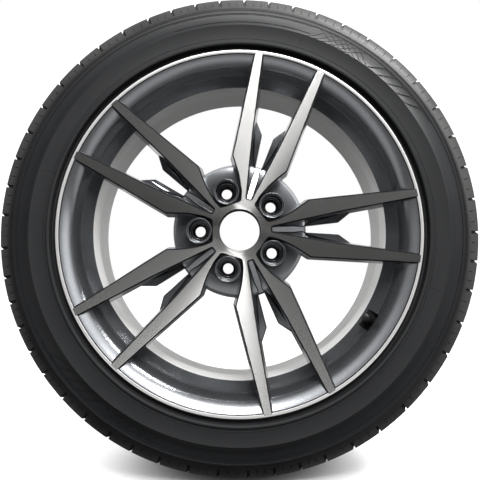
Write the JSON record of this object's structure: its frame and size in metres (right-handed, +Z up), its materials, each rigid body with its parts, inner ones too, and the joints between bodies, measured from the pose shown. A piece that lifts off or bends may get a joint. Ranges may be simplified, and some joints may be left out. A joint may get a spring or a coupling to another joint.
{
  "type": "car wheel with tyre",
  "caption": "Cast alloy car wheel with twin turned spokes, a low-profile radial tyre and a snap-in valve with screw cap and sprung core.",
  "frame": {"origin": "wheel centre: on the axle line, in the middle plane of the rim", "axes": "+Y along the axle towards the car, so the outer face looks along -Y; +Z up as the wheel stands"},
  "size_m": [0.6683, 0.236, 0.6682],
  "materials": {
    "painted_alloy": "gunmetal paint with a lathe-turned bright face",
    "tread_rubber": "matt moulded rubber",
    "valve_rubber": "satin rubber",
    "brass": "turned brass",
    "seal_rubber": "matt rubber",
    "steel": "drawn steel",
    "cap_plastic": "black moulded plastic"
  },
  "bodies": {
    "wheel": {"alloy_wheel": "painted_alloy", "tyre": "tread_rubber", "valve_body": "valve_rubber", "valve_stem": "brass", "core_plug": "brass", "core_barrel": "brass", "core_seal": "seal_rubber", "core_spring": "steel"},
    "pin": {"core_pin": "steel", "core_cup": "seal_rubber"},
    "cap_disc": {"cap_seal": "seal_rubber"},
    "cap": {"valve_cap": "cap_plastic"}
  },
  "joints": [
    {"name": "pin_press", "type": "slide", "parent": "wheel", "child": "pin", "axis": [0.3076, 0.9272, -0.2138], "range_m": [0, 0.0015], "stiffness_N_per_m": 700, "springref_m": -0.003, "deforming": ["core_spring"]},
    {"name": "cap_rise", "type": "slide", "parent": "wheel", "child": "cap_disc", "axis": [-0.3076, -0.9272, 0.2138], "range_m": [0, 0.0059]},
    {"name": "cap_turn", "type": "hinge", "parent": "cap_disc", "child": "cap", "pos_m": [0.16978, -0.09782, -0.118], "axis": [-0.3076, -0.9272, 0.2138], "range_deg": [0, 2700]}
  ],
  "couplings": [
    {"joint": "cap_turn", "follows": "cap_rise", "rad_per_m": 7915.8}
  ]
}
